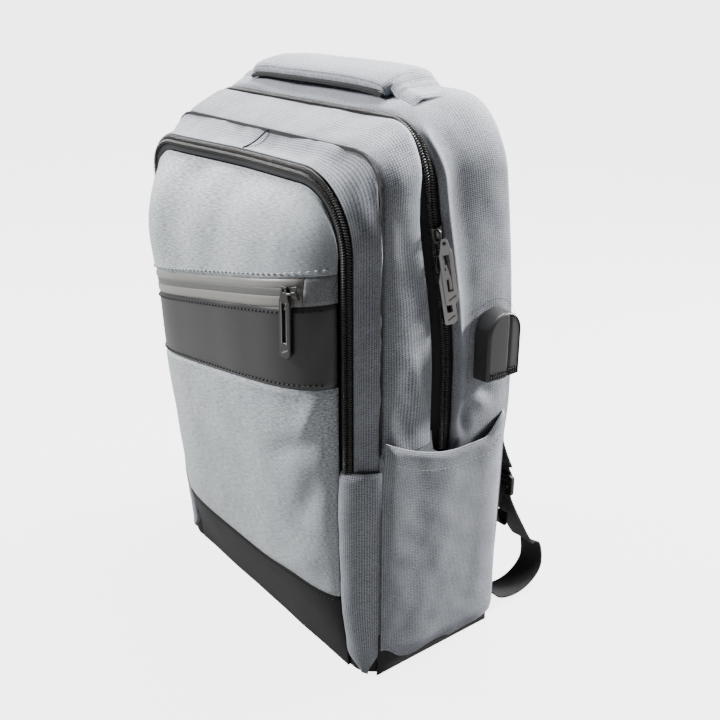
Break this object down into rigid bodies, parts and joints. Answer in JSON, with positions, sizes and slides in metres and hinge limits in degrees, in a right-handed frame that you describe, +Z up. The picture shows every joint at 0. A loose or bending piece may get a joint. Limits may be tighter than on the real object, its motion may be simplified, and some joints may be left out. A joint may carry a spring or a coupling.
{
  "type": "laptop backpack",
  "caption": "Upright grey laptop backpack with zipped front pocket, slanted zip pocket, side pockets, carry handle, padded straps and a rubber charging-port hood.",
  "frame": {"origin": "centre of the base underside, on the floor the bag stands on", "axes": "+Z up, the front panel faces -Y, the charging hood is on +X"},
  "size_m": [0.3268, 0.2589, 0.469],
  "materials": {
    "front_fabric": "heathered light grey polyester",
    "side_fabric": "grey twill polyester",
    "lining": "black lining and mesh",
    "pu": "smooth black coated fabric",
    "zip_tape": "black woven zip tape with nylon coil",
    "pocket_tape": "taupe coated zip tape, satin",
    "rubber": "matt black rubber",
    "webbing": "black woven webbing",
    "pull_metal": "satin gun-metal grey",
    "plastic": "matt black plastic"
  },
  "bodies": {
    "pack": {"bottom_trim": "pu", "front_panel_lower": "front_fabric", "main_zip_rear": "zip_tape", "rear_top": "side_fabric", "rear_side_right": "side_fabric", "rear_side_left": "side_fabric", "mid_side_right": "side_fabric", "mid_side_left": "side_fabric", "front_strip_right": "side_fabric", "front_strip_left": "side_fabric", "side_pocket_right": "side_fabric", "side_pocket_left": "side_fabric", "front_wall_lower": "lining", "back_panel": "lining", "laptop_sleeve": "lining", "base_panel": "pu", "handle": "side_fabric", "usb_hood": "rubber", "usb_inlet": "plastic", "yoke": "webbing", "webbing_right": "webbing", "webbing_left": "webbing", "anchor_tab_right": "webbing", "anchor_tab_left": "webbing"},
    "front_section": {"front_zip_outer": "zip_tape", "front_gusset": "side_fabric", "mid_gusset": "side_fabric", "main_zip_front": "zip_tape", "front_wall": "lining"},
    "front_flap": {"flap_lower": "front_fabric", "pu_band": "pu", "pocket_zip_tape": "pocket_tape", "twill_patch": "side_fabric", "flap_upper": "front_fabric", "front_zip_inner": "zip_tape"},
    "main_slider_upper": {"main_slider_upper": "pull_metal"},
    "main_pull_upper": {"main_pull_upper": "pull_metal"},
    "main_slider_lower": {"main_slider_lower": "pull_metal"},
    "main_pull_lower": {"main_pull_lower": "pull_metal"},
    "front_slider": {"front_slider": "pull_metal"},
    "front_pull": {"front_pull": "pull_metal"},
    "pocket_slider": {"pocket_slider": "pull_metal"},
    "pocket_pull": {"pocket_pull": "pull_metal"},
    "strap_right": {"strap_right": "lining", "ladder_lock_right": "plastic", "webbing_tail_right": "webbing"},
    "strap_left": {"strap_left": "lining", "ladder_lock_left": "plastic", "webbing_tail_left": "webbing"}
  },
  "joints": [
    {"name": "main_compartment_opening", "type": "hinge", "parent": "pack", "child": "front_section", "pos_m": [0, -0.106, 0.197], "axis": [1, 0, 0], "range_deg": [0, 35]},
    {"name": "front_pocket_opening", "type": "hinge", "parent": "front_section", "child": "front_flap", "pos_m": [0, -0.106, 0.197], "axis": [1, 0, 0], "range_deg": [0, 60]},
    {"name": "main_slider_upper_travel", "type": "slide", "parent": "pack", "child": "main_slider_upper", "axis": [0, -0.1738, 0.9848], "range_m": [0, 0.018]},
    {"name": "main_pull_upper_swing", "type": "hinge", "parent": "main_slider_upper", "child": "main_pull_upper", "pos_m": [0.1524, 0.00338, 0.358], "axis": [0, -0.9766, -0.2149], "range_deg": [0, 80]},
    {"name": "main_slider_lower_travel", "type": "slide", "parent": "pack", "child": "main_slider_lower", "axis": [0, -0.0896, 0.996], "range_m": [-0.125, 0]},
    {"name": "main_pull_lower_swing", "type": "hinge", "parent": "main_slider_lower", "child": "main_pull_lower", "pos_m": [0.15, 0.00625, 0.338], "axis": [-1, 0, 0], "range_deg": [0, 50]},
    {"name": "front_slider_travel", "type": "slide", "parent": "front_section", "child": "front_slider", "axis": [0, -0.1047, 0.9945], "range_m": [0, 0.085]},
    {"name": "front_pull_swing", "type": "hinge", "parent": "front_slider", "child": "front_pull", "pos_m": [-0.1352, -0.06671, 0.259], "axis": [-0.7071, 0.7071, 0], "range_deg": [0, 80]},
    {"name": "pocket_slider_travel", "type": "slide", "parent": "front_flap", "child": "pocket_slider", "axis": [0.9671, 0.171, 0.1886], "range_m": [-0.06, 0]},
    {"name": "pocket_pull_swing", "type": "hinge", "parent": "pocket_slider", "child": "pocket_pull", "pos_m": [0.09792, -0.09407, 0.32674], "axis": [-0.9838, -0.1771, 0.0295], "range_deg": [0, 80]},
    {"name": "strap_right_swing", "type": "hinge", "parent": "pack", "child": "strap_right", "pos_m": [0, 0.072, 0.425], "axis": [1, 0, 0], "range_deg": [0, 12], "deforming": ["webbing_right"]},
    {"name": "strap_left_swing", "type": "hinge", "parent": "pack", "child": "strap_left", "pos_m": [0, 0.072, 0.425], "axis": [1, 0, 0], "range_deg": [0, 12], "deforming": ["webbing_left"]}
  ]
}
